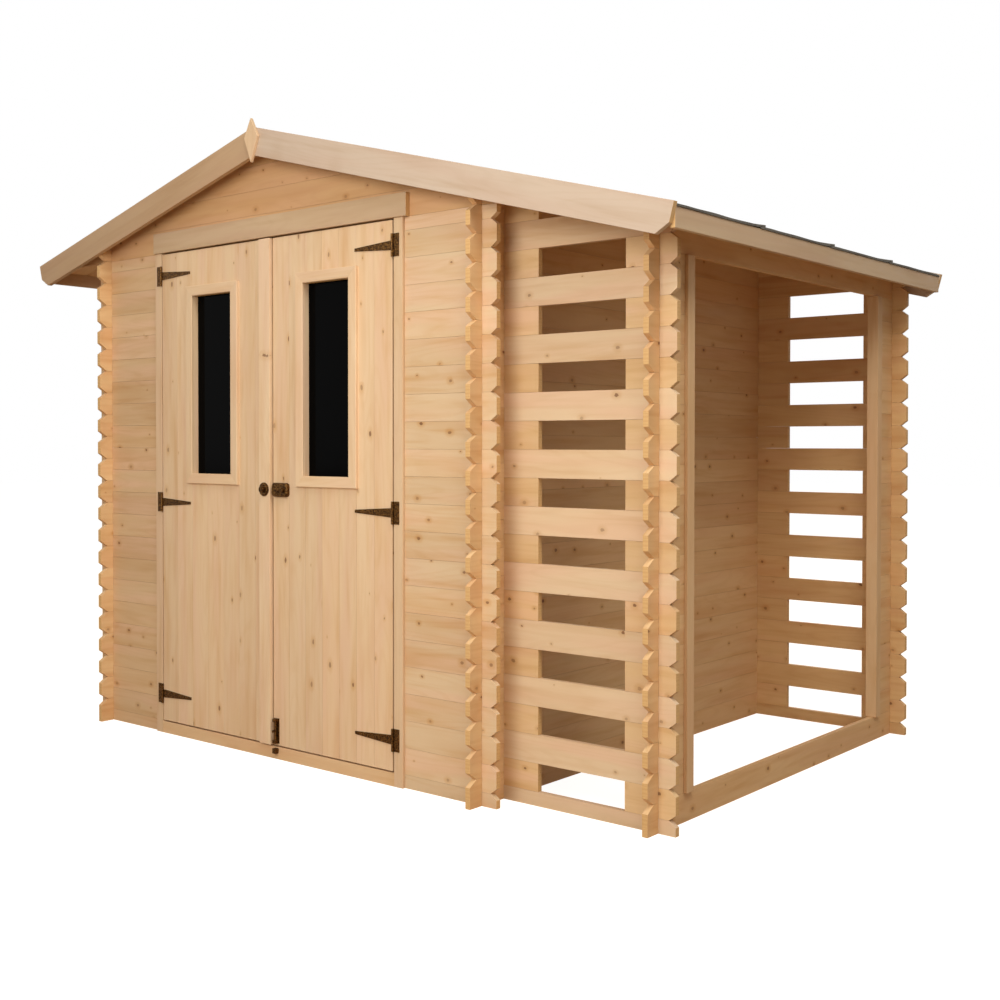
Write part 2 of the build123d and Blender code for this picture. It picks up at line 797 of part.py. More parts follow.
def barge_board(y_back_face, x_end, label):
    """Writes one barge board, plumb at the ridge, with its lower corner cut at the eave."""
    side = 1 if x_end > x_centre else -1
    ridge_x = x_centre + side * board_gap / 2
    drop = barge_width / cos(radians(roof_pitch))
    tip_z = barge_ridge - abs(x_end - x_centre) * slope

    def on_board(inward, down):
        """Point at a distance along the board from its end and across it from its top."""
        x = x_end - side * (inward * cos(radians(roof_pitch)) + down * sin(radians(roof_pitch)))
        z = tip_z + inward * sin(radians(roof_pitch)) - down * cos(radians(roof_pitch))
        return (x, z)

    with BuildPart() as barge:
        with BuildSketch(Plane.XZ.offset(-y_back_face)):
            Polygon(
                (ridge_x, barge_ridge),
                on_board(0, 0),
                on_board(0, barge_width - barge_corner),
                on_board(barge_corner, barge_width),
                (ridge_x, barge_ridge - drop),
            )
        extrude(amount=barge_thickness)
    save(barge.part, label)


barge_board(roof_front - seat, eave_left, "front_barge_left")
barge_board(roof_front - seat, eave_right, "front_barge_right")
barge_board(roof_back + seat + barge_thickness, eave_left, "rear_barge_left")
barge_board(roof_back + seat + barge_thickness, eave_right, "rear_barge_right")


def fascia(x_out, side, label):
    """Writes one eave board, whose top follows the roof."""
    x_in = x_out - side * fascia_thickness
    top_rise = sheathing_rise - fascia_drop
    bottom = under_roof(x_out) + top_rise - fascia_height
    with BuildPart() as board:
        with BuildSketch(roof_section):
            Polygon(
                (x_out, bottom),
                (x_in, bottom),
                (x_in, under_roof(x_in) + top_rise),
                (x_out, under_roof(x_out) + top_rise),
            )
        extrude(amount=roof_run_y)
    save(board.part, label)


fascia(fascia_left_out, -1, "fascia_left")
fascia(fascia_right_out, 1, "fascia_right")


def finial(y_back_face, label):
    """Writes the kite-shaped board that covers the joint of two barge boards."""
    with BuildPart() as kite:
        with BuildSketch(Plane.XZ.offset(-y_back_face)):
            Polygon(
                (x_centre, barge_ridge + finial_top),
                (x_centre + finial_half_width, barge_ridge - finial_shoulder),
                (x_centre, barge_ridge - finial_bottom),
                (x_centre - finial_half_width, barge_ridge - finial_shoulder),
            )
        extrude(amount=finial_thickness)
    save(kite.part, label)


finial(roof_front - 2 * seat - barge_thickness, "front_finial")
finial(roof_back + 2 * seat + barge_thickness + finial_thickness, "rear_finial")
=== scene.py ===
"""Dresses the garden shed and its log store: timber, felt, glass and antique brass fittings."""

import logging
import math
from collections.abc import Callable
from dataclasses import dataclass, field
from enum import Enum
from functools import partial

import bmesh
import bpy
import numpy as np
from bpy.types import ID, Material, Node, NodeSocket, NodeTree, Object
from mathutils import Matrix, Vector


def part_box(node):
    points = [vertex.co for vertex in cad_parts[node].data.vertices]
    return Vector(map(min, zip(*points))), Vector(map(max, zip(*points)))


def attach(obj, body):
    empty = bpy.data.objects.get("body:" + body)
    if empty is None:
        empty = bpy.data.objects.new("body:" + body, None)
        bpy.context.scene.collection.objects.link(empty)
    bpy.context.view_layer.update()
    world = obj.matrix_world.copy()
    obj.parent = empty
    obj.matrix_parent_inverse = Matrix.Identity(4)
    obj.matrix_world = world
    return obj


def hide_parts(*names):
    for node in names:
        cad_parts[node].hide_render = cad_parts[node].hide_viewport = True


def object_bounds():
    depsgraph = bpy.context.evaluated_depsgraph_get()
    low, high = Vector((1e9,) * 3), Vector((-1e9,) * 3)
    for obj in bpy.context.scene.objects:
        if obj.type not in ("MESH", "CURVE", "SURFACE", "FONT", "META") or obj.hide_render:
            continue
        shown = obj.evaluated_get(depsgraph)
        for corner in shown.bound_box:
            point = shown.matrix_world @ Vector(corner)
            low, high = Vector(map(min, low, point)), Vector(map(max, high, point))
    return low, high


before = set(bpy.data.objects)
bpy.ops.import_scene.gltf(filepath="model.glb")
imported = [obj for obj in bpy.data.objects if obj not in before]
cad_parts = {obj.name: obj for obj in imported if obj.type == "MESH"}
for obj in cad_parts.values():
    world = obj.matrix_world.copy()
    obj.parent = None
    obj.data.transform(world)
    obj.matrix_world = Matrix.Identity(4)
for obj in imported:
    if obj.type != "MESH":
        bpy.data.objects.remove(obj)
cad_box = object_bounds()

log = logging.getLogger("shed")

MM = 0.001
TAU = 2 * math.pi
PITCH = math.radians(15.0)
COURSE = 90 * MM

# Real fibres are far finer: these are drawn coarse, so that they show
FIBRE_WIDE = 1.2 * MM
FIBRE_LONG = 40 * MM

# A single board is part of a very wide one, so that no seam falls on it
WIDE = 1.0
SINGLE = {"board": WIDE, "seam": 0.0}

# Blender's names for the nodes that are used most
MATH = "ShaderNodeMath"
RANGE = "ShaderNodeMapRange"
NOISE = "ShaderNodeTexNoise"
VORONOI = "ShaderNodeTexVoronoi"
MIX = "ShaderNodeMix"
JOIN = "ShaderNodeCombineXYZ"
SPLIT = "ShaderNodeSeparateXYZ"
SPLIT_COLOUR = "ShaderNodeSeparateColor"
PLACE = "ShaderNodeTexCoord"
BUMP = "ShaderNodeBump"
SHADER = "ShaderNodeBsdfPrincipled"
OUTPUT = "ShaderNodeOutputMaterial"
SMOOTH = {"interpolation_type": "SMOOTHSTEP"}
COLOURS = {"data_type": "RGBA"}

# A mix takes its share at socket 0 and its two colours at A and B
A, B, MIXED = 6, 7, 2

Pair = tuple[float, float]
Point = tuple[float, float, float]
Colour = tuple[float, float, float, float]
Put = Callable[..., Node]


def to_linear(hex_colour: str) -> Colour:
    """Turns an sRGB hex colour into linear values.

    Args:
        hex_colour: Colour as six hex digits, such as "d8b48a".

    Returns:
        Linear red, green and blue, and an opacity of 1.
    """
    srgb = np.array([int(hex_colour[i : i + 2], 16) for i in (0, 2, 4)]) / 255
    linear = np.where(srgb <= 0.04045, srgb / 12.92, ((srgb + 0.055) / 1.055) ** 2.4)
    return (*(float(v) for v in linear), 1.0)


def add(tree: NodeTree, kind: str, inputs: dict | tuple = (), **settings: str) -> Node:
    """Adds a node with its settings, values and links.

    Args:
        tree: Node tree that takes the node.
        kind: Blender's name for the node's type.
        inputs: Value, output or node for each input, in order, or by name or index. A node
            stands for its first output.
        **settings: Properties of the node itself.

    Returns:
        The new node.
    """
    node = tree.nodes.new(kind)
    for key, value in settings.items():
        setattr(node, key, value)
    for key, value in inputs.items() if isinstance(inputs, dict) else enumerate(inputs):
        source = value.outputs[0] if isinstance(value, Node) else value
        if isinstance(source, NodeSocket):
            tree.links.new(source, node.inputs[key])
        else:
            node.inputs[key].default_value = source
    return node


def blank(name: str) -> tuple[Material, Put]:
    """Makes a material whose node tree is empty.

    Args:
        name: Name of the material.

    Returns:
        The material, and what adds a node to it.
    """
    mat = bpy.data.materials.new(name)
    mat.use_nodes = True
    mat.node_tree.nodes.clear()
    return mat, partial(add, mat.node_tree)


class Grain(Enum):
    """How boards lie: turn about Y, then the axes along, across and through a board."""

    ALONG_X = (0.0, "X", "Z", "Y")
    ALONG_Y = (0.0, "Y", "Z", "X")
    UPRIGHT = (0.0, "Z", "X", "Y")
    UPRIGHT_SIDE = (0.0, "Z", "Y", "X")
    BEAM = (0.0, "Y", "X", "Z")
    LEFT_SLOPE = (PITCH, "X", "Y", "Z")
    RIGHT_SLOPE = (-PITCH, "X", "Y", "Z")
    LEFT_BARGE = (PITCH, "X", "Z", "Y")
    RIGHT_BARGE = (-PITCH, "X", "Z", "Y")


class Tone(Enum):
    """Colours of the timber: early wood, late wood, and the pink that shows in patches. Some runs are darker
    with painted shade.
    """

    PLAIN = ("e3c094", "c8965c", "e2b795")
    # Darker than the right front: painted shade, for light that falls off towards the left
    LEFT_FRONT_PAINTED_SHADE = ("d5b388", "bd8d57", "e2b795")
    RIGHT_FRONT = ("dcbf97", "c8965c", "e2b795")
    RAILS = ("e1c49d", "cba172", "e2b795")
    # Darker and yellower than the rails: partly the blocks' own tone, partly painted shade of the recessed
    # store wall
    BLOCKS = ("dfbb8a", "c6965b", "e2b795")
    # Darker and warmer than the front: painted shade, for the dim inside of the store
    BACK = ("dbb37c", "bf864a", "d4a475")
    SIDES = ("e2bc89", "c58e52", "dcac7e")
    # Darker than the walls: painted shade, for the shadow under the bargeboards
    GABLES_PAINTED_SHADE = ("d3a877", "bd8a54", "cf9d74")
    POSTS = ("dfbf97", "cba070", "dcb797")
    WARM_POSTS = ("e3be90", "cc9b62", "deb084")
    EAVES = ("c9ac88", "b39068", "c09b7c")
    # Darker than the right barges: painted shade, for light that falls off towards the left
    LEFT_BARGES_PAINTED_SHADE = ("c09e78", "ab855c", "ba9471")
    RIGHT_BARGES = ("cbb69f", "b79a7d", "c6a992")
    PLANKS = ("e3c49c", "cfa26e", "dfb797")
    WINDOWS = ("e5c7a0", "d2a878", "dfb898")


@dataclass(frozen=True)
class Figure:
    """One figure of the wood: a noise drawn out along the board.

    Along and across count its cells a metre, and detail is how many finer noises are laid over
    the first. As the noise goes from low to high, the figure shows up to its share.
    """

    along: float
    across: float
    low: float = 0.45
    high: float = 0.75
    share: float = 1.0
    detail: float = 2.0

    def draw(self, put: Put, spot: Node) -> Node:
        """Draws the noise.

        Args:
            put: Adds a node to the material.
            spot: Place along, across and through the board.

        Returns:
            Its noise node.
        """
        cells = (self.along, self.across, self.across)
        drawn = put("ShaderNodeVectorMath", (spot, cells), operation="MULTIPLY")
        return put(NOISE, {"Vector": drawn, "Scale": 1.0, "Detail": self.detail})

    def cover(self, put: Put, noise: Node) -> Node:
        """Turns the noise into how much of the figure shows at a point."""
        return put(RANGE, (noise, self.low, self.high, 0.0, self.share), **SMOOTH)


@dataclass(frozen=True)
class Spruce:
    """Planed, untreated spruce: pale, with faint growth rings, fine fibre and small brown knots.

    Shares of figures darken early wood towards late wood. Knot sizes are shares of a cell, or
    of the knot's own radius. The pairs named edge say from where to where something sets in.
    """

    name: str
    grain: Grain
    tone: Tone = Tone.PLAIN
    knot_tone: str = "6e4325"
    end_tone: str = "d8ad72"
    seam_tone: str = "7a4e28"
    board: float = COURSE
    first_edge: float = 0.0
    seed: float = 1.0
    second_seed: float = 0.5
    start_spread: float = 23.0
    tone_spread: float = 0.2
    shade_spread: Pair = (0.95, 1.03)
    wander: Figure = Figure(1.1, 9.0, detail=1.0)
    streaks: Figure = Figure(2.5, 38.0, share=0.3, detail=3.0)
    blotches: Figure = Figure(2.2, 12.0, share=0.32)
    blushes: Figure = Figure(1.7, 14.0, low=0.4, high=0.7, share=0.55, detail=1.0)
    fibres: Figure = Figure(1 / FIBRE_LONG, 1 / FIBRE_WIDE, low=0.5, high=0.8, share=0.1)
    ring_lines: float = 13.0
    ring_edge: Pair = (0.1, 1.0)
    ring_share: float = 0.1
    knot_share: float = 0.5
    knot_spacing: float = 120 * MM
    knot_size: float = 0.13
    least_knot: float = 0.012
    knot_edge: Pair = (1.2, 0.7)
    knot_rags: Figure = Figure(90.0, 140.0)
    knot_wobble: float = 0.06
    knot_strength: Pair = (0.45, 1.0)
    knot_cover: float = 0.8
    halo_reach: float = 3.4
    halo_room: float = 0.02
    halo_share: float = 0.4
    year: float = 3 * MM
    year_edge: Pair = (-0.2, 1.0)
    year_share: float = 0.35
    heart_off: float = 45 * MM
    heart_below: float = 30 * MM
    end_edge: Pair = (0.6, 0.95)
    seam: float = 1.4 * MM
    seam_core: float = 0.35
    seam_depth: float = 0.12
    fibre_relief: float = 0.6
    ring_relief: float = -0.5
    knot_relief: float = -0.8
    bump: float = 0.35
    bump_depth: float = 0.3 * MM
    roughness: Pair = (0.62, 0.52)
    specular: float = 0.35

    def material(self) -> Material:
        """Builds the timber, drawn board by board along the grain.

        A board's index is the floor of its distance from the first edge over the board's
        width. A random value of the index gives each board its own tone and its own stretch
        of grain. Rings are contour lines of a noise drawn out along the board.

        Returns:
            The finished material.
        """
        mat, put = blank(self.name)
        turn, along, across, through = self.grain.value
        place = put(PLACE).outputs
        turned = put("ShaderNodeMapping", {"Vector": place["Object"], "Rotation": (0, turn, 0)})
        axes = put(SPLIT, (turned,)).outputs
        facing = put("ShaderNodeMapping", {"Vector": place["Normal"], "Rotation": (0, turn, 0)})
        end_on = put(SPLIT, (facing,)).outputs[along]

        from_edge = put(MATH, (axes[across], self.first_edge), operation="SUBTRACT")
        boards = put(MATH, (from_edge, self.board), operation="DIVIDE")
        index = put(MATH, (boards,), operation="FLOOR")
        within = put(MATH, (boards, index), operation="SUBTRACT")
        board_seed = put(JOIN, (index, self.seed, self.second_seed))
        own = put("ShaderNodeTexWhiteNoise", {"Vector": board_seed}).outputs["Color"]
        own = put(SPLIT_COLOUR, (own,)).outputs
        run = put(MATH, (own[0], self.start_spread, axes[along]), operation="MULTIPLY_ADD")
        spot = put(JOIN, (run, axes[across], axes[through]))

        rings = put(MATH, (self.wander.draw(put, spot), self.ring_lines * TAU), operation="MULTIPLY")
        rings = put(RANGE, (put(MATH, (rings,), operation="SINE"), *self.ring_edge), **SMOOTH)
        knots, halo = self.knots(put, spot, run, boards)
        fibres = self.fibres.draw(put, spot)
        darkness = put(MATH, (own[1], self.tone_spread), operation="MULTIPLY")
        darkness = put(MATH, (rings, self.ring_share, darkness), operation="MULTIPLY_ADD")
        darkness = put(MATH, (halo, self.halo_share, darkness), operation="MULTIPLY_ADD")
        for layer in (
            self.fibres.cover(put, fibres),
            self.streaks.cover(put, self.streaks.draw(put, spot)),
            self.blotches.cover(put, self.blotches.draw(put, spot)),
        ):
            darkness = put(MATH, (darkness, layer), operation="ADD")

        early, late, blush = (to_linear(colour) for colour in self.tone.value)
        pink = self.blushes.cover(put, self.blushes.draw(put, spot))
        colour = put(MIX, {0: pink, A: early, B: blush}, **COLOURS).outputs[MIXED]
        colour = put(MIX, {0: darkness, A: colour, B: late}, **COLOURS).outputs[MIXED]
        shade = put(RANGE, (own[2], 0.0, 1.0, *self.shade_spread), **SMOOTH)
        shade = put("ShaderNodeCombineColor", (shade, shade, shade))
        colour = put(MIX, {0: 1.0, A: colour, B: shade}, blend_type="MULTIPLY", **COLOURS).outputs[MIXED]
        cover = put(MATH, (knots, self.knot_cover), operation="MULTIPLY")
        colour = put(MIX, {0: cover, A: colour, B: to_linear(self.knot_tone)}, **COLOURS).outputs[MIXED]
        colour = self.ends(put, within, end_on, colour)
        colour = self.seams(put, within, colour)

        relief = put(MATH, (fibres, self.fibre_relief), operation="MULTIPLY")
        relief = put(MATH, (rings, self.ring_relief, relief), operation="MULTIPLY_ADD")
        relief = put(MATH, (knots, self.knot_relief, relief), operation="MULTIPLY_ADD")
        finish = {
            "Base Color": colour,
            "Roughness": put(RANGE, (rings, 0.0, 1.0, *self.roughness), **SMOOTH),
            "Normal": put(BUMP, {"Strength": self.bump, "Distance": self.bump_depth, "Height": relief}),
            "Specular IOR Level": self.specular,
        }
        put(OUTPUT, (put(SHADER, finish),))
        return mat

    def knots(self, put: Put, spot: Node, run: Node, boards: Node) -> tuple[Node, Node]:
        """Draws the knots, at most one to a cell of the knot spacing by a board's width.

        A random value of the cell, less a threshold, gives the knot's radius. The knot is dark
        within its radius, and its halo fades out to about three times it.

        Args:
            put: Adds a node to the material.
            spot: Place along, across and through the board.
            run: Place along the board's own stretch of grain.
            boards: Place across, counted in boards.

        Returns:
            How much of a knot is at a point, and how much of its halo.
        """
        rags = self.knot_rags.draw(put, spot)
        ragged = put(MATH, (rags, self.knot_wobble, -self.knot_wobble / 2), operation="MULTIPLY_ADD")
        column = put(MATH, (run, self.knot_spacing), operation="DIVIDE")
        column = put(MATH, (column, ragged), operation="ADD")
        row = put(MATH, (boards, ragged), operation="SUBTRACT")
        cells = put(VORONOI, {"Vector": put(JOIN, (column, row)), "Scale": 1.0}, voronoi_dimensions="2D")
        distance = cells.outputs["Distance"]
        chance = put(SPLIT_COLOUR, (cells.outputs["Color"],)).outputs
        size = put(MATH, (chance[0], 1 - self.knot_share), operation="SUBTRACT")
        size = put(MATH, (size, 0.0), operation="MAXIMUM")
        radius = put(MATH, (size, self.knot_size), operation="MULTIPLY")
        has_knot = put(MATH, (radius, self.least_knot), operation="GREATER_THAN")
        rim, core = (put(MATH, (radius, share), operation="MULTIPLY") for share in self.knot_edge)
        dark = put(RANGE, (distance, rim, core), **SMOOTH)
        dark = put(MATH, (dark, has_knot), operation="MULTIPLY")
        strength = put(RANGE, (chance[1], 0.0, 1.0, *self.knot_strength), **SMOOTH)
        reach = put(MATH, (radius, self.halo_reach, self.halo_room), operation="MULTIPLY_ADD")
        halo = put(RANGE, (distance, reach, radius), **SMOOTH)
        knots = put(MATH, (dark, strength), operation="MULTIPLY")
        return knots, put(MATH, (halo, has_knot), operation="MULTIPLY")

    def ends(self, put: Put, within: Node, end_on: NodeSocket, colour: NodeSocket) -> NodeSocket:
        """Draws year rings on faces cut across the grain, which are a little darker and warmer.

        A ring is where the distance from a heart below the board is a whole number of years.

        Args:
            put: Adds a node to the material.
            within: Share of the board's width at a point.
            end_on: How squarely the face looks along the board.
            colour: Colour of the other faces.

        Returns:
            Colour of all faces.
        """
        from_heart = put(MATH, (within, self.board, -self.heart_off), operation="MULTIPLY_ADD")
        arc = put(MATH, (from_heart, from_heart, self.heart_below**2), operation="MULTIPLY_ADD")
        arc = put(MATH, (arc,), operation="SQRT")
        years = put(MATH, (arc, TAU / self.year), operation="MULTIPLY")
        years = put(MATH, (years,), operation="SINE")
        years = put(RANGE, (years, *self.year_edge, 0.0, self.year_share), **SMOOTH)
        _, late, _ = self.tone.value
        cut = {0: years, A: to_linear(self.end_tone), B: to_linear(late)}
        cut = put(MIX, cut, **COLOURS).outputs[MIXED]
        squarely = put(MATH, (end_on,), operation="ABSOLUTE")
        share = put(RANGE, (squarely, *self.end_edge), **SMOOTH)
        return put(MIX, {0: share, A: colour, B: cut}, **COLOURS).outputs[MIXED]

    def seams(self, put: Put, within: Node, colour: NodeSocket) -> NodeSocket:
        """Darkens the joint between two boards, where dirt and shade gather.

        Args:
            put: Adds a node to the material.
            within: Share of the board's width at a point.
            colour: Colour of the boards.

        Returns:
            Colour of the boards and their joints.
        """
        far_side = put(MATH, (1.0, within), operation="SUBTRACT")
        to_seam = put(MATH, (within, far_side), operation="MINIMUM")
        to_seam = put(MATH, (to_seam, self.board), operation="MULTIPLY")
        core = self.seam * self.seam_core
        share = put(RANGE, (to_seam, self.seam, core, 0.0, self.seam_depth), **SMOOTH)
        return put(MIX, {0: share, A: colour, B: to_linear(self.seam_tone)}, **COLOURS).outputs[MIXED]


@dataclass(frozen=True)
class AntiqueBrass:
    """Pressed brass, chemically darkened: brown in the hollows, with a golden rub on the high spots."""

    name: str = "antique_brass"
    dark: str = "3c2611"
    rubbed: str = "8f6430"
    mottle: float = 5 * MM
    mottle_detail: float = 4.0
    rub_edge: Pair = (0.42, 0.72)
    polish_edge: Pair = (0.3, 0.7)
    roughness: Pair = (0.55, 0.35)
    metallic: float = 0.9
    bump: float = 0.3
    bump_depth: float = 0.2 * MM

    def material(self) -> Material:
        """Builds the metal from a mottle of dark patina and rubbed brass.

        Returns:
            The finished material.
        """
        mat, put = blank(self.name)
        place = put(PLACE).outputs["Object"]
        mottle = put(NOISE, {"Vector": place, "Scale": 1 / self.mottle, "Detail": self.mottle_detail})
        share = put(RANGE, (mottle, *self.rub_edge))
        colour = put(MIX, {0: share, A: to_linear(self.dark), B: to_linear(self.rubbed)}, **COLOURS)
        finish = {
            "Base Color": colour.outputs[MIXED],
            "Metallic": self.metallic,
            "Roughness": put(RANGE, (mottle, *self.polish_edge, *self.roughness)),
            "Normal": put(BUMP, {"Strength": self.bump, "Distance": self.bump_depth, "Height": mottle}),
        }
        put(OUTPUT, (put(SHADER, finish),))
        return mat


@dataclass(frozen=True)
class MineralFelt:
    """Bitumen roofing felt with a skin of mineral grit: dark grey, dull and speckled."""

    name: str = "mineral_felt"
    base: str = "4f4a42"
    grit: str = "8e887c"
    # Real grit is about 1 mm: it is drawn coarser, so that it shows
    grain_size: float = 2.5 * MM
    patches: float = 7.0
    patch_detail: float = 3.0
    roughness: float = 0.92
    bump: float = 0.5
    bump_depth: float = 0.6 * MM

    def material(self) -> Material:
        """Builds the felt from cells of grit, paler in large patches.

        Returns:
            The finished material.
        """
        mat, put = blank(self.name)
        place = put(PLACE).outputs["Object"]
        cells = put(VORONOI, {"Vector": place, "Scale": 1 / self.grain_size}).outputs
        speck = put(SPLIT_COLOUR, (cells["Color"],))
        patches = put(NOISE, {"Vector": place, "Scale": self.patches, "Detail": self.patch_detail})
        share = put(MATH, (speck, patches), operation="MULTIPLY")
        colour = put(MIX, {0: share, A: to_linear(self.base), B: to_linear(self.grit)}, **COLOURS)
        relief = {"Strength": self.bump, "Distance": self.bump_depth, "Height": cells["Distance"]}
        relief = put(BUMP, relief)
        finish = {"Base Color": colour.outputs[MIXED], "Roughness": self.roughness, "Normal": relief}
        put(OUTPUT, (put(SHADER, finish),))
        return mat


@dataclass(frozen=True)
class DarkPane:
    """Acrylic sheet painted near black as shade of the dark inside seen through it: smooth, with a faint
    film of dust that dulls its gloss.
    """

    name: str = "dark_pane"
    # Near black as painted shade: the dark inside of the shed seen through the pane
    painted_inside_shade: str = "040404"
    dust: float = 9.0
    dust_detail: float = 3.0
    roughness: Pair = (0.05, 0.16)
    specular: float = 0.02

    def material(self) -> Material:
        """Builds a black sheet with a low, slightly uneven gloss.

        Returns:
            The finished material.
        """
        mat, put = blank(self.name)
        place = put(PLACE).outputs["Object"]
        dust = put(NOISE, {"Vector": place, "Scale": self.dust, "Detail": self.dust_detail})
        finish = {
            "Base Color": to_linear(self.painted_inside_shade),
            "Roughness": put(RANGE, (dust, 0.0, 1.0, *self.roughness)),
            "Specular IOR Level": self.specular,
        }
        put(OUTPUT, (put(SHADER, finish),))
        return mat


def stand(name: str, data: ID) -> Object:
    """Makes an object and puts it in the scene.

    Args:
        name: Name of the object.
        data: Its mesh, lamp or camera.

    Returns:
        The new object.
    """
    thing = bpy.data.objects.new(name, data)
    bpy.context.scene.collection.objects.link(thing)
    return thing


def dress(
    piece: Object, material: Material, body: str, replaces: tuple[str, ...] = ()
) -> None:
    """Gives a new piece its finish, its body and the nodes it stands for.

    Args:
        piece: The new object.
        material: Finish of the whole piece.
        body: Body that it rides on.
        replaces: CAD nodes that it stands for.
    """
    piece.data.materials.clear()
    piece.data.materials.append(material)
    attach(piece, body)
    if replaces:
        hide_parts(*replaces)
    log.info("%s: %d faces on %s", piece.name, len(piece.data.polygons), body)


@dataclass
class Shell:
    """Gathers closed surfaces and makes them one mesh object at the origin."""

    name: str
    points: list[np.ndarray] = field(default_factory=list)
    faces: list[tuple[int, ...]] = field(default_factory=list)

    def carry(self, rings: np.ndarray) -> None:
        """Adds a profile carried along a path, closed by a flat cap at each end.

        Point j of ring i joins point j of ring i + 1, and the profile closes on itself.

        Args:
            rings: Points of every profile, as an array of rings by points by 3.
        """
        rows, columns = rings.shape[:2]
        start = sum(len(p) for p in self.points)
        grid = start + np.arange(rows * columns).reshape(rows, columns)
        after = np.roll(grid, -1, axis=1)
        quads = np.stack([grid[:-1], after[:-1], after[1:], grid[1:]], axis=-1).reshape(-1, 4)
        self.points.append(rings.reshape(-1, 3))
        self.faces += [tuple(q) for q in quads.tolist()]
        self.faces += [tuple(grid[0, ::-1].tolist()), tuple(grid[-1].tolist())]

    def build(self, material: Material, body: str, slot: str, replaces: tuple[str, ...] = ()) -> None:
        """Makes the mesh with outward faces and dresses it.

        Args:
            material: Finish of the whole piece.
            body: Body that it rides on.
            slot: Name of a material slot; not used.
            replaces: CAD nodes that it stands for.
        """
        mesh = bpy.data.meshes.new(self.name)
        mesh.from_pydata(np.concatenate(self.points).tolist(), [], self.faces)
        work = bmesh.new()
        work.from_mesh(mesh)
        bmesh.ops.recalc_face_normals(work, faces=work.faces)
        work.to_mesh(mesh)
        work.free()
        dress(stand(self.name, mesh), material, body, replaces)


@dataclass
class EasedTimber:
    """A CAD node copied with its sharp edges eased, as sandpaper or a planer's cutter leaves them."""

    ease: float
    segments: int = 2
    sharper_than: float = math.radians(25)
    same_point: float = 0.01 * MM
    same_plane: float = math.radians(0.5)

    def copy(self, node: str, material: Material, body: str, slot: str, suffix: str) -> None:
        """Copies a node, merges its loose triangles and gives it a small round on every edge.

        Args:
            node: CAD node to copy and stand for.
            material: Finish of the piece.
            body: Body that it rides on.
            slot: Name of a material slot; not used.
            suffix: Word that ends the new piece's name.
        """
        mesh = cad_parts[node].data.copy()
        work = bmesh.new()
        work.from_mesh(mesh)
        bmesh.ops.remove_doubles(work, verts=work.verts, dist=self.same_point)
        bmesh.ops.dissolve_limit(work, angle_limit=self.same_plane, verts=work.verts, edges=work.edges)
        for face in work.faces:
            face.smooth = False
        work.to_mesh(mesh)
        work.free()
        mesh.name = f"{node}_{suffix}"
        piece = stand(mesh.name, mesh)
        bevel = piece.modifiers.new("eased_edges", "BEVEL")
        bevel.width = self.ease
        bevel.segments = self.segments
        bevel.limit_method = "ANGLE"
        bevel.angle_limit = self.sharper_than
        dress(piece, material, body, (node,))


@dataclass
class LogWalls:
    """Walls of interlocking boards, gables and the frame of the log store's open side."""

    ease: EasedTimber = field(default_factory=lambda: EasedTimber(0.4 * MM))
    first_course: float = COURSE / 2

    def build(self) -> None:
        """Eases every wall node and gives each run of walls its own boards.

        Boards along X start with half a course on the ground, and those along Y with a whole one.
        """
        half = {"grain": Grain.ALONG_X, "first_edge": self.first_course}
        runs = {
            # The left front's darker tone is painted shade
            Spruce("front_left_painted_shade_boards", tone=Tone.LEFT_FRONT_PAINTED_SHADE, seed=4.0, **half): ("front_wall_left",),
            Spruce("front_right_boards", tone=Tone.RIGHT_FRONT, seed=3.0, **half): ("front_wall_right",),
            Spruce("rail_boards", tone=Tone.RAILS, seed=3.0, **half): ("store_front_rails",),
            # The blocks' tone is partly painted shade of the recessed store wall
            Spruce("block_part_painted_shade_boards", tone=Tone.BLOCKS, seed=3.0, **half): (
                "store_front_inner_blocks", "store_front_outer_blocks",
            ),
            # The back wall's darker, warmer tone is painted shade
            Spruce("back_painted_shade_boards", tone=Tone.BACK, seed=3.0, **half): (
                "back_wall_rails", "back_wall_boards", "store_back_blocks",
            ),
            Spruce("wall_boards_side", Grain.ALONG_Y, Tone.SIDES, seed=5.0): (
                "left_wall", "partition_wall", "store_side_sill", "store_side_header",
                "store_side_front_stubs", "store_side_back_stubs",
            ),
            # The gables' darker tone is painted shade from the bargeboards
            Spruce("gable_painted_shade_boards", Grain.ALONG_X, Tone.GABLES_PAINTED_SHADE, seed=8.0): ("front_gable", "rear_gable"),
        }
        for timber, nodes in runs.items():
            material = timber.material()
            for node in nodes:
                self.ease.copy(node, material, "root", "log_boards", "boards")


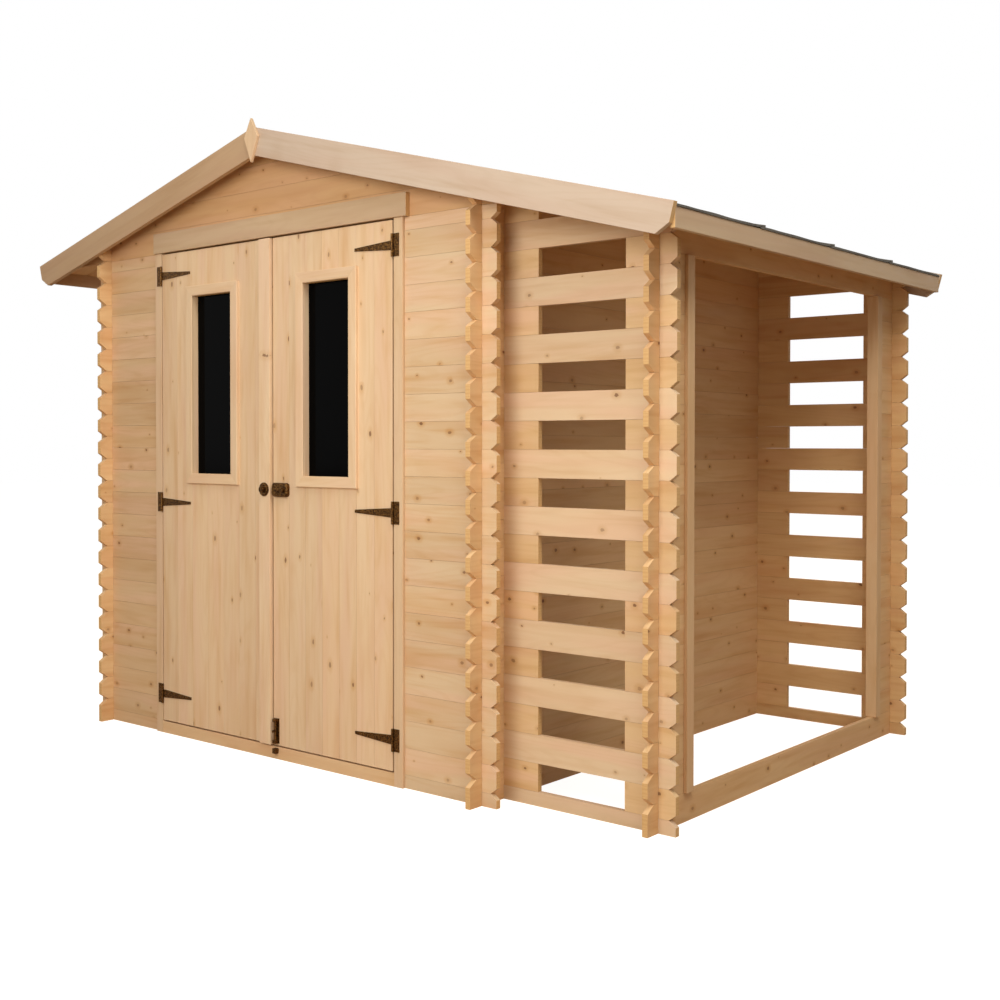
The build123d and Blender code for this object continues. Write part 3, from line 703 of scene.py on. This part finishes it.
@dataclass
class Trim:
    """Posts, threshold, head trim, finials and the roof's edge boards."""

    ease: EasedTimber = field(default_factory=lambda: EasedTimber(1.2 * MM))
    knot_spacing: float = 300 * MM

    def timber(self, name: str, grain: Grain, tone: Tone, first_edge: float, seed: float) -> Material:
        """Makes the finish of single boards.

        Args:
            name: Name of the finish.
            grain: How the boards lie.
            tone: Colours of the boards.
            first_edge: Where the wide board that they are part of starts.
            seed: Seed of the grain.

        Returns:
            The finished material.
        """
        single = {**SINGLE, "knot_spacing": self.knot_spacing}
        return Spruce(name, grain, tone, first_edge=first_edge, seed=seed, **single).material()

    def build(self) -> None:
        """Eases every trim board and lays its grain along it."""
        upright = self.timber("posts", Grain.UPRIGHT, Tone.POSTS, first_edge=-3.1, seed=11.0)
        store = self.timber("store_posts", Grain.UPRIGHT_SIDE, Tone.WARM_POSTS, first_edge=-3.2, seed=12.0)
        sill = self.timber("threshold_board", Grain.ALONG_X, Tone.WARM_POSTS, first_edge=-0.6, seed=18.0)
        level = self.timber("level_trim", Grain.ALONG_X, Tone.EAVES, first_edge=-0.6, seed=13.0)
        eaves = self.timber("eave_boards", Grain.ALONG_Y, Tone.EAVES, first_edge=-0.7, seed=14.0)
        # The left barge boards' darker tone is painted shade
        left = self.timber("barge_left", Grain.LEFT_BARGE, Tone.LEFT_BARGES_PAINTED_SHADE, first_edge=-3.3, seed=15.0)
        right = self.timber("barge_right", Grain.RIGHT_BARGE, Tone.RIGHT_BARGES, first_edge=-3.4, seed=16.0)
        beams = self.timber("roof_beams", Grain.BEAM, Tone.POSTS, first_edge=-3.0, seed=17.0)
        for slot, material, nodes in (
            ("planed_trim", upright, ("door_post_left", "door_post_right")),
            ("planed_trim", store, ("store_post_front", "store_post_back")),
            ("planed_trim", sill, ("threshold",)),
            ("planed_trim", level, ("door_head_trim",)),
            ("planed_trim", upright, ("front_finial", "rear_finial")),
            ("roof_timber", eaves, ("fascia_left", "fascia_right", "store_wall_plate")),
            ("roof_timber", beams, ("ridge_beam", "side_beams")),
            ("roof_timber", left, ("front_barge_left", "rear_barge_left")),
            ("roof_timber", right, ("front_barge_right", "rear_barge_right")),
        ):
            for node in nodes:
                self.ease.copy(node, material, "root", slot, "trim")


@dataclass
class Door:
    """One leaf: upright planks, ledges behind, a mitred window frame and its pane."""

    side: str
    seed: float
    planks: int = 7
    plank_knots: float = 160 * MM
    trim_knots: float = 400 * MM
    trim_wide: float = 38 * MM
    trim_thick: float = 12 * MM
    mitre_gap: float = 0.4 * MM
    inner_ease: float = 2.5 * MM
    inner_slant: float = 0.6
    outer_ease: float = 1.5 * MM
    ease: EasedTimber = field(default_factory=lambda: EasedTimber(0.8 * MM))

    @property
    def body(self) -> str:
        """Body that the leaf rides on."""
        return f"{self.side}_door"

    def build(self) -> None:
        """Builds the leaf's timber and its window."""
        side, seed = self.side, self.seed
        low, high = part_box(f"{side}_door_planks")
        planks = Spruce(
            f"{side}_planks", Grain.UPRIGHT, Tone.PLANKS, board=(high.x - low.x) / self.planks,
            first_edge=low.x, seed=seed, knot_spacing=self.plank_knots,
        )
        ledges = Spruce(f"{side}_ledges", Grain.ALONG_X, board=WIDE, first_edge=-0.5, seed=seed + 2)
        self.ease.copy(f"{side}_door_planks", planks.material(), self.body, "door_planks", "boards")
        self.ease.copy(f"{side}_door_ledges", ledges.material(), self.body, "door_planks", "boards")

        single = {"tone": Tone.WINDOWS, "knot_spacing": self.trim_knots, **SINGLE}
        rails = Spruce(f"{side}_trim_rails", Grain.ALONG_X, first_edge=-0.4, seed=seed + 4, **single)
        stiles = Spruce(f"{side}_trim_stiles", Grain.UPRIGHT, first_edge=-3.6, seed=seed + 6, **single)
        upright = stiles.material()
        self.window_trim(rails.material(), upright)
        self.ease.copy(f"{side}_window_inner_frame", upright, self.body, "planed_trim", "trim")
        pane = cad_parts[f"{side}_window_pane"]
        pane.data.materials.clear()
        pane.data.materials.append(DarkPane(f"{side}_pane").material())
        if side == "left":
            strip = Spruce("cover_strip", Grain.UPRIGHT, first_edge=-3.9, seed=29.0, **single).material()
            self.ease.copy("left_door_cover_strip", strip, self.body, "planed_trim", "trim")

    def profile(self) -> np.ndarray:
        """Section of the window trim: distance out from the opening, then depth forward.

        The section is a rectangle with its front corners cut, the inner one more widely.

        Returns:
            An array of points by 2.
        """
        wide, thick = self.trim_wide, self.trim_thick
        inner, outer = self.inner_ease, self.outer_ease
        back = [(0, 0), (wide, 0)]
        outer_cut = [(wide, thick - outer), (wide - outer, thick)]
        inner_cut = [(inner, thick), (0, thick - inner * self.inner_slant)]
        return np.array(back + outer_cut + inner_cut)

    def mitred(self, edge: float, sign: float, ends: Pair, back_y: float, upright: bool) -> np.ndarray:
        """Rings of one board of the window trim, which is its section at both ends.

        A point that lies out by d from the opening starts and ends d further along, which
        gives the mitre of 45 degrees.

        Args:
            edge: Where the board's inner edge lies.
            sign: Way that its width runs from there.
            ends: Where the opening starts and stops along the board.
            back_y: Where its back lies.
            upright: Whether it stands or lies level.

        Returns:
            The two rings.
        """
        out, forward = self.profile().T
        aside, y, gap = edge + sign * out, back_y - forward, self.mitre_gap / 2
        rings = [
            np.stack([aside, y, along] if upright else [along, y, aside], axis=-1)
            for along in (ends[0] - out + gap, ends[1] + out - gap)
        ]
        return np.stack(rings)

    def window_trim(self, rails: Material, stiles: Material) -> None:
        """Makes the four mitred boards round the window.

        Args:
            rails: Finish of the level boards.
            stiles: Finish of the upright boards.
        """
        low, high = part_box(f"{self.side}_window_trim")
        left, right = low.x + self.trim_wide, high.x - self.trim_wide
        bottom, top = low.z + self.trim_wide, high.z - self.trim_wide
        for word, finish, edges, ends in (
            ("rails", rails, ((top, 1.0), (bottom, -1.0)), (left, right)),
            ("stiles", stiles, ((left, -1.0), (right, 1.0)), (bottom, top)),
        ):
            shell = Shell(f"{self.side}_window_{word}")
            for edge, sign in edges:
                shell.carry(self.mitred(edge, sign, ends, high.y, word == "stiles"))
            shell.build(finish, self.body, "planed_trim", (f"{self.side}_window_trim",))


@dataclass
class Fittings:
    """Hinges with their screws, latch, catch and bolt.

    The screws' places are in millimetres, from the middle of a plate and the root of a strap.
    The radii and rises of the rose's rings are shares of its own.
    """

    ease: EasedTimber = field(default_factory=lambda: EasedTimber(0.6 * MM))
    screw_radius: float = 3.6 * MM
    screw_rise: float = 1.1 * MM
    screw_sides: int = 12
    dome_rings: int = 5
    dome_sweep: float = 0.48 * math.pi
    plate_thick: float = 2.5 * MM
    plate_middle: float = 12 * MM
    plate_screws: tuple[Pair, ...] = ((-5, 28), (5, 14), (-5, -14), (5, -28))
    strap_screws: tuple[float, ...] = (28, 84, 150)
    hinge_heights: tuple[float, ...] = (156 * MM, 913 * MM, 1800 * MM)
    key_deep: float = 9 * MM
    key_off: float = 17 * MM
    key_screw: float = 2.6 * MM
    key_screw_out: float = 32 * MM
    key_screw_up: float = 14 * MM
    knob_deep: float = 14 * MM
    knob_rose: float = 1.4
    rose_radius: float = 14 * MM
    rose_rise: float = 2.4 * MM
    rose_sides: int = 28
    rose_radii: tuple[float, ...] = (1.0, 1.0, 0.9, 0.78, 0.68, 0.3, 0.12)
    rose_rises: tuple[float, ...] = (0.0, 0.5, 1.0, 0.7, 0.5, 0.7, 0.8)

    def head(self, centre: Point, radius: float) -> np.ndarray:
        """Rings of a screw's domed head that faces -Y: radius times cos a, rise times sin a.

        Args:
            centre: Middle of the head's flat back.
            radius: Radius of the head at its back.

        Returns:
            Rings from its back to its crown.
        """
        climb = np.linspace(0, self.dome_sweep, self.dome_rings)
        return self.turned(centre, radius * np.cos(climb), self.screw_rise * np.sin(climb), self.screw_sides)

    def rose(self, centre: Point, wider: float) -> np.ndarray:
        """Rings of a dished rose, with a raised rim and a low boss.

        Args:
            centre: Middle of the rose's flat back.
            wider: Radius against that of the latch's rose.

        Returns:
            Rings from the back to the crown.
        """
        radii = wider * (self.rose_radius * np.array(self.rose_radii))
        rises = self.rose_rise * np.array(self.rose_rises)
        return self.turned(centre, radii, rises, self.rose_sides)

    def turned(self, centre: Point, radii: np.ndarray, rises: np.ndarray, sides: int) -> np.ndarray:
        """Rings of a round piece that faces -Y: a circle of each radius, stood out by each rise.

        Args:
            centre: Middle of the flat back.
            radii: Radius of each ring.
            rises: How far each ring stands out from the back.
            sides: Points on each ring.

        Returns:
            Rings from the back to the crown.
        """
        around = np.linspace(0, TAU, sides, endpoint=False)[None, :]
        x = centre[0] + radii[:, None] * np.cos(around)
        y = centre[1] - rises[:, None] + 0 * around
        z = centre[2] + radii[:, None] * np.sin(around)
        return np.stack([x, y, z], axis=-1)

    def build(self) -> None:
        """Gives every fitting its brass and sets the screws."""
        brass = AntiqueBrass().material()
        for side in ("left", "right"):
            self.ease.copy(f"{side}_hinge_plates", brass, "root", "antique_brass", "brass")
            self.ease.copy(f"{side}_hinge_straps", brass, f"{side}_door", "antique_brass", "brass")
            self.hinge_screws(side, brass)
        for node, body in (
            ("right_door_latch", "right_door"),
            ("left_door_catch", "left_door"),
            ("right_door_bolt_plate", "right_door"),
            ("right_door_bolt_rod", "right_door"),
            ("threshold_bolt_keeper", "root"),
        ):
            self.ease.copy(node, brass, body, "antique_brass", "brass")
        self.lock_faces(brass)

    def lock_faces(self, brass: Material) -> None:
        """Sets the rose and four screws on the latch, and the rose round the catch's knob.

        Args:
            brass: Finish of the roses and screws.
        """
        low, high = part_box("right_door_latch")
        face_y = low.y + self.key_deep
        middle_x, middle_z = (low.x + high.x) / 2, (low.z + high.z) / 2
        latch = Shell("right_latch_rose_and_screws")
        latch.carry(self.rose((middle_x - self.key_off, face_y, middle_z), 1.0))
        for dx in (-self.key_screw_out, self.key_screw_out):
            for dz in (-self.key_screw_up, self.key_screw_up):
                latch.carry(self.head((middle_x + dx, face_y, middle_z + dz), self.key_screw))
        latch.build(brass, "right_door", "antique_brass")
        low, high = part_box("left_door_catch")
        knob_at = ((low.x + high.x) / 2, low.y + self.knob_deep, (low.z + high.z) / 2)
        catch = Shell("left_catch_rose")
        catch.carry(self.rose(knob_at, self.knob_rose))
        catch.build(brass, "left_door", "antique_brass")

    def hinge_screws(self, side: str, brass: Material) -> None:
        """Sets the screws of a door's three hinges: four on each plate, three on each strap.

        Args:
            side: Which door, left or right.
            brass: Finish of the screws.
        """
        plate_low, plate_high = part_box(f"{side}_hinge_plates")
        strap_low, strap_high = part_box(f"{side}_hinge_straps")
        inward = 1.0 if side == "left" else -1.0
        plate_x = (plate_low.x if side == "left" else plate_high.x) + inward * self.plate_middle
        strap_root = strap_low.x if side == "left" else strap_high.x
        face_y = plate_high.y - self.plate_thick
        on_frame = Shell(f"{side}_hinge_frame_screws")
        on_leaf = Shell(f"{side}_hinge_leaf_screws")
        for height in self.hinge_heights:
            for dx, dz in self.plate_screws:
                spot = (plate_x + dx * MM, face_y, height + dz * MM)
                on_frame.carry(self.head(spot, self.screw_radius))
            for run in self.strap_screws:
                spot = (strap_root + inward * run * MM, face_y, height)
                on_leaf.carry(self.head(spot, self.screw_radius))
        on_frame.build(brass, "root", "antique_brass")
        on_leaf.build(brass, f"{side}_door", "antique_brass")


@dataclass
class Roof:
    """Boards laid down each slope under four strips of felt that run over the ridge.

    Waves are counted in radians a metre, and the ripples' shift in radians a strip.
    """

    board: float = 97 * MM
    board_thick: float = 16 * MM
    board_gap: float = 0.8 * MM
    board_seam: float = 1.0 * MM
    groove: float = 3 * MM
    strips: int = 4
    lap: float = 30 * MM
    lap_step: float = 10 * MM
    felt_thick: float = 3 * MM
    fold: float = 3.5 * MM
    fold_change: float = 0.12
    fold_wave: float = 17.0
    fold_in: float = 0.8
    fold_up: float = 0.4
    curl: float = 4 * MM
    curl_run: float = 150 * MM
    ripple: float = 1.2 * MM
    ripple_across: float = 5.1
    ripple_along: float = 31.0
    ripple_skew: float = 4.0
    ripple_shift: float = 2.3
    points_across: int = 121
    lines_along: int = 25

    def build(self) -> None:
        """Builds both decks and the felt."""
        self.deck("left", Grain.LEFT_SLOPE, seed=35.0)
        self.deck("right", Grain.RIGHT_SLOPE, seed=36.0)
        self.felt()

    def deck(self, side: str, grain: Grain, seed: float) -> None:
        """Makes one slope of boards, each carried from the eave to the ridge.

        A board's section is a rectangle with its lower corners cut, so that the underside shows
        a groove at every joint. Its height at x follows the slope of the roof.

        Args:
            side: Which slope, left or right.
            grain: How its boards lie.
            seed: Seed of the grain.
        """
        low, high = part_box(f"roof_boards_{side}")
        rise = self.board_thick / math.cos(PITCH)
        eave_x, ridge_x = (low.x, high.x) if side == "left" else (high.x, low.x)
        ridge_under = high.z - rise
        eave_under = ridge_under - abs(ridge_x - eave_x) * math.tan(PITCH)
        count = round((high.y - low.y) / self.board)
        pitch = (high.y - low.y) / count
        edge, cut = self.board_gap / 2, self.groove
        across = np.array([edge + cut, pitch - edge - cut, pitch - edge, pitch - edge, edge, edge])
        up = np.array([0, 0, cut, rise, rise, cut])
        shell = Shell(f"roof_deck_{side}")
        for y in low.y + pitch * np.arange(count):
            ends = [
                np.stack([np.full_like(across, x), y + across, under + up], axis=-1)
                for x, under in ((eave_x, eave_under), (ridge_x, ridge_under))
            ]
            shell.carry(np.stack(ends))
        boards = {"board": pitch, "first_edge": low.y, "seed": seed, "seam": self.board_seam}
        timber = Spruce(f"roof_deck_{side}", grain, **boards).material()
        shell.build(timber, "root", "roof_timber", (f"roof_boards_{side}",))

    def felt(self) -> None:
        """Makes the felt strips, each lapped over the one behind it.

        Across the roof, a strip's line runs from one fold up to the ridge and down to the other
        fold: height is the ridge less the distance times the slope. Near its lap, a strip steps
        up by the thickness and curls up towards the eaves. Its top stands off by the thickness,
        and by ripples that are products of two sines, and its bottom is the same line without
        either.
        """
        left_low, left_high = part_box("roof_felt_left")
        _, right_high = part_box("roof_felt_right")
        middle = left_high.x
        ridge_under = left_high.z - 2 * self.felt_thick / math.cos(PITCH)
        out = np.linspace(-1, 1, self.points_across)
        reach = np.where(out < 0, middle - left_low.x, right_high.x - middle)
        x_line = middle + out * reach
        under = ridge_under - np.abs(out) * reach * math.tan(PITCH)
        near_eave = np.clip(1 - (1 - np.abs(out)) * reach / self.curl_run, 0, 1) ** 2
        strip = (left_high.y - left_low.y) / self.strips
        shell = Shell("roofing_felt")
        for k in range(self.strips):
            lapped = k < self.strips - 1
            start = left_low.y + k * strip
            end = start + strip
            y_line = np.linspace(start, end + (self.lap if lapped else 0), self.lines_along)
            x, y = np.meshgrid(x_line, y_line)
            step = np.clip((y - end) / self.lap_step, 0, 1) * self.felt_thick
            curl = np.clip(1 - (end + self.lap - y) / self.curl_run, 0, 1) ** 2 * self.curl * lapped
            flat = np.clip(1 - (y - start - self.lap) / self.lap, 0, 1)
            waves = np.sin(self.ripple_across * x + self.ripple_shift * k)
            waves = waves * np.sin(self.ripple_along * y + self.ripple_skew * x)
            bottom = np.stack([x, y, under + step + curl * near_eave], axis=-1)
            top = bottom.copy()
            top[..., 2] += self.felt_thick + self.ripple * (waves + 1) / 2 * (1 - flat)
            right_fold = self.fold_down(bottom[:, -1], 1.0)
            left_fold = self.fold_down(bottom[:, 0], -1.0)
            shell.carry(np.concatenate([top, right_fold, bottom[:, ::-1], left_fold], axis=1))
        felt = MineralFelt().material()
        shell.build(felt, "root", "roofing_felt", ("roof_felt_left", "roof_felt_right"))

    def fold_down(self, eave: np.ndarray, side: float) -> np.ndarray:
        """Points of the felt's folded edge, outer face first, that hangs over the eave board.

        The fold hangs down by its depth, more or less by a sine of y.

        Args:
            eave: Points of the felt's underside at the eave, one for each line.
            side: 1 at the right eave and -1 at the left one.

        Returns:
            Four points for each line, down the outer face and up the inner one.
        """
        drop = self.fold * (1 + self.fold_change * np.sin(self.fold_wave * eave[:, 1] + side))
        inner_end = np.full_like(drop, self.felt_thick * self.fold_up)
        down = np.stack([0 * drop, drop, drop, inner_end], axis=-1)
        inward = side * self.felt_thick * self.fold_in * np.array([0, 0, 1, 1])
        x, y, z = eave[:, :1] - inward, eave[:, 1:2] + 0 * down, eave[:, 2:] - down
        points = np.stack([x, y, z], axis=-1)
        return points if side > 0 else points[:, ::-1]


@dataclass(frozen=True)
class Lamp:
    """One large soft lamp: where it stands, the side of its square face, its power in watts."""

    name: str
    at: Point
    size: float
    power: float

    def place(self) -> None:
        """Adds the lamp and points it at the middle of the building."""
        data = bpy.data.lights.new(self.name, "AREA")
        data.size = self.size
        data.energy = self.power
        lamp = stand(self.name, data)
        lamp.location = self.at
        low, high = cad_box
        aim = (low + high) / 2 - lamp.location
        lamp.rotation_mode = "QUATERNION"
        lamp.rotation_quaternion = aim.to_track_quat("-Z", "Y")


@dataclass
class Studio:
    """Floor and sky, soft lamps and the camera. Angles are in degrees."""

    lamps: tuple[Lamp, ...] = (
        Lamp("key", (1.3, -4.4, 2.3), size=2.4, power=98.0),
        Lamp("fill", (3.7, -2.4, 5.2), size=2.5, power=165.0),
        Lamp("back", (-4.5, 5.5, 4.0), size=4.0, power=210.0),
    )
    camera_at: Point = (3.4405, -3.975, 1.1437)
    turned_left: float = 39.26
    tilted: float = -0.96
    rolled: float = 0.04
    sensor: float = 36.0
    focal: float = 46.13
    shift: Pair = (-0.0068, -0.035)
    floor_half: float = 30.0
    floor_tone: str = "bca68e"
    floor_glow: float = 0.92
    white: str = "ffffff"
    sky_light: float = 0.3

    def build(self) -> None:
        """Builds the floor, the lamps, the world and the camera."""
        self.floor()
        self.world()
        for lamp in self.lamps:
            lamp.place()
        self.camera()
        bpy.context.scene.view_settings.view_transform = "Standard"

    def floor(self) -> None:
        """Makes the warm floor, which glows to the camera and so meets the white sky."""
        half = self.floor_half
        mesh = bpy.data.meshes.new("floor")
        corners = [(-half, -half, 0), (half, -half, 0), (half, half, 0), (-half, half, 0)]
        mesh.from_pydata(corners, [], [(0, 1, 2, 3)])
        mat, put = blank("studio_floor")
        seen = put("ShaderNodeLightPath").outputs["Is Camera Ray"]
        strength = put(MATH, (seen, self.floor_glow), operation="MULTIPLY")
        glow = put("ShaderNodeEmission", {"Color": to_linear(self.white), "Strength": strength})
        plain = put("ShaderNodeBsdfDiffuse", {"Color": to_linear(self.floor_tone)})
        put(OUTPUT, (put("ShaderNodeAddShader", (plain, glow)),))
        mesh.materials.append(mat)
        floor = stand("floor", mesh)

    def world(self) -> None:
        """Makes the sky: white to the camera, gloss and glass, and softer as a light."""
        world = bpy.data.worlds.new("studio_sky")
        bpy.context.scene.world = world
        world.use_nodes = True
        world.node_tree.nodes.clear()
        put = partial(add, world.node_tree)
        path = put("ShaderNodeLightPath").outputs
        seen = put(MATH, (path["Is Camera Ray"], path["Is Glossy Ray"]), operation="MAXIMUM")
        seen = put(MATH, (seen, path["Is Transmission Ray"]), operation="MAXIMUM")
        strength = put(RANGE, (seen, 0.0, 1.0, self.sky_light, 1.0))
        sky = put("ShaderNodeBackground", {"Color": to_linear(self.white), "Strength": strength})
        put("ShaderNodeOutputWorld", (sky,))

    def camera(self) -> None:
        """Adds the camera, turned left from the Y axis, then tilted and rolled."""
        data = bpy.data.cameras.new("camera")
        data.sensor_width = self.sensor
        data.lens = self.focal
        data.shift_x, data.shift_y = self.shift
        turn, tilt, roll = (math.radians(a) for a in (self.turned_left, self.tilted, self.rolled))
        level = math.cos(tilt)
        forward = np.array([-math.sin(turn) * level, math.cos(turn) * level, math.sin(tilt)])
        right = np.array([math.cos(turn), math.sin(turn), 0.0])
        up = np.cross(right, forward)
        rolled_right = math.cos(roll) * right + math.sin(roll) * up
        rolled_up = -math.sin(roll) * right + math.cos(roll) * up
        matrix = np.eye(4)
        matrix[:3] = np.stack([rolled_right, rolled_up, -forward, self.camera_at], axis=-1)
        camera = stand("camera", data)
        camera.matrix_world = Matrix(matrix.tolist())
        bpy.context.scene.camera = camera


def main() -> None:
    """Builds the studio and every sub-assembly."""
    logging.basicConfig(level=logging.INFO, format="%(message)s")
    Studio().build()
    LogWalls().build()
    Trim().build()
    Door("left", seed=21.0).build()
    Door("right", seed=22.0).build()
    Fittings().build()
    Roof().build()


if __name__ == "__main__":
    main()
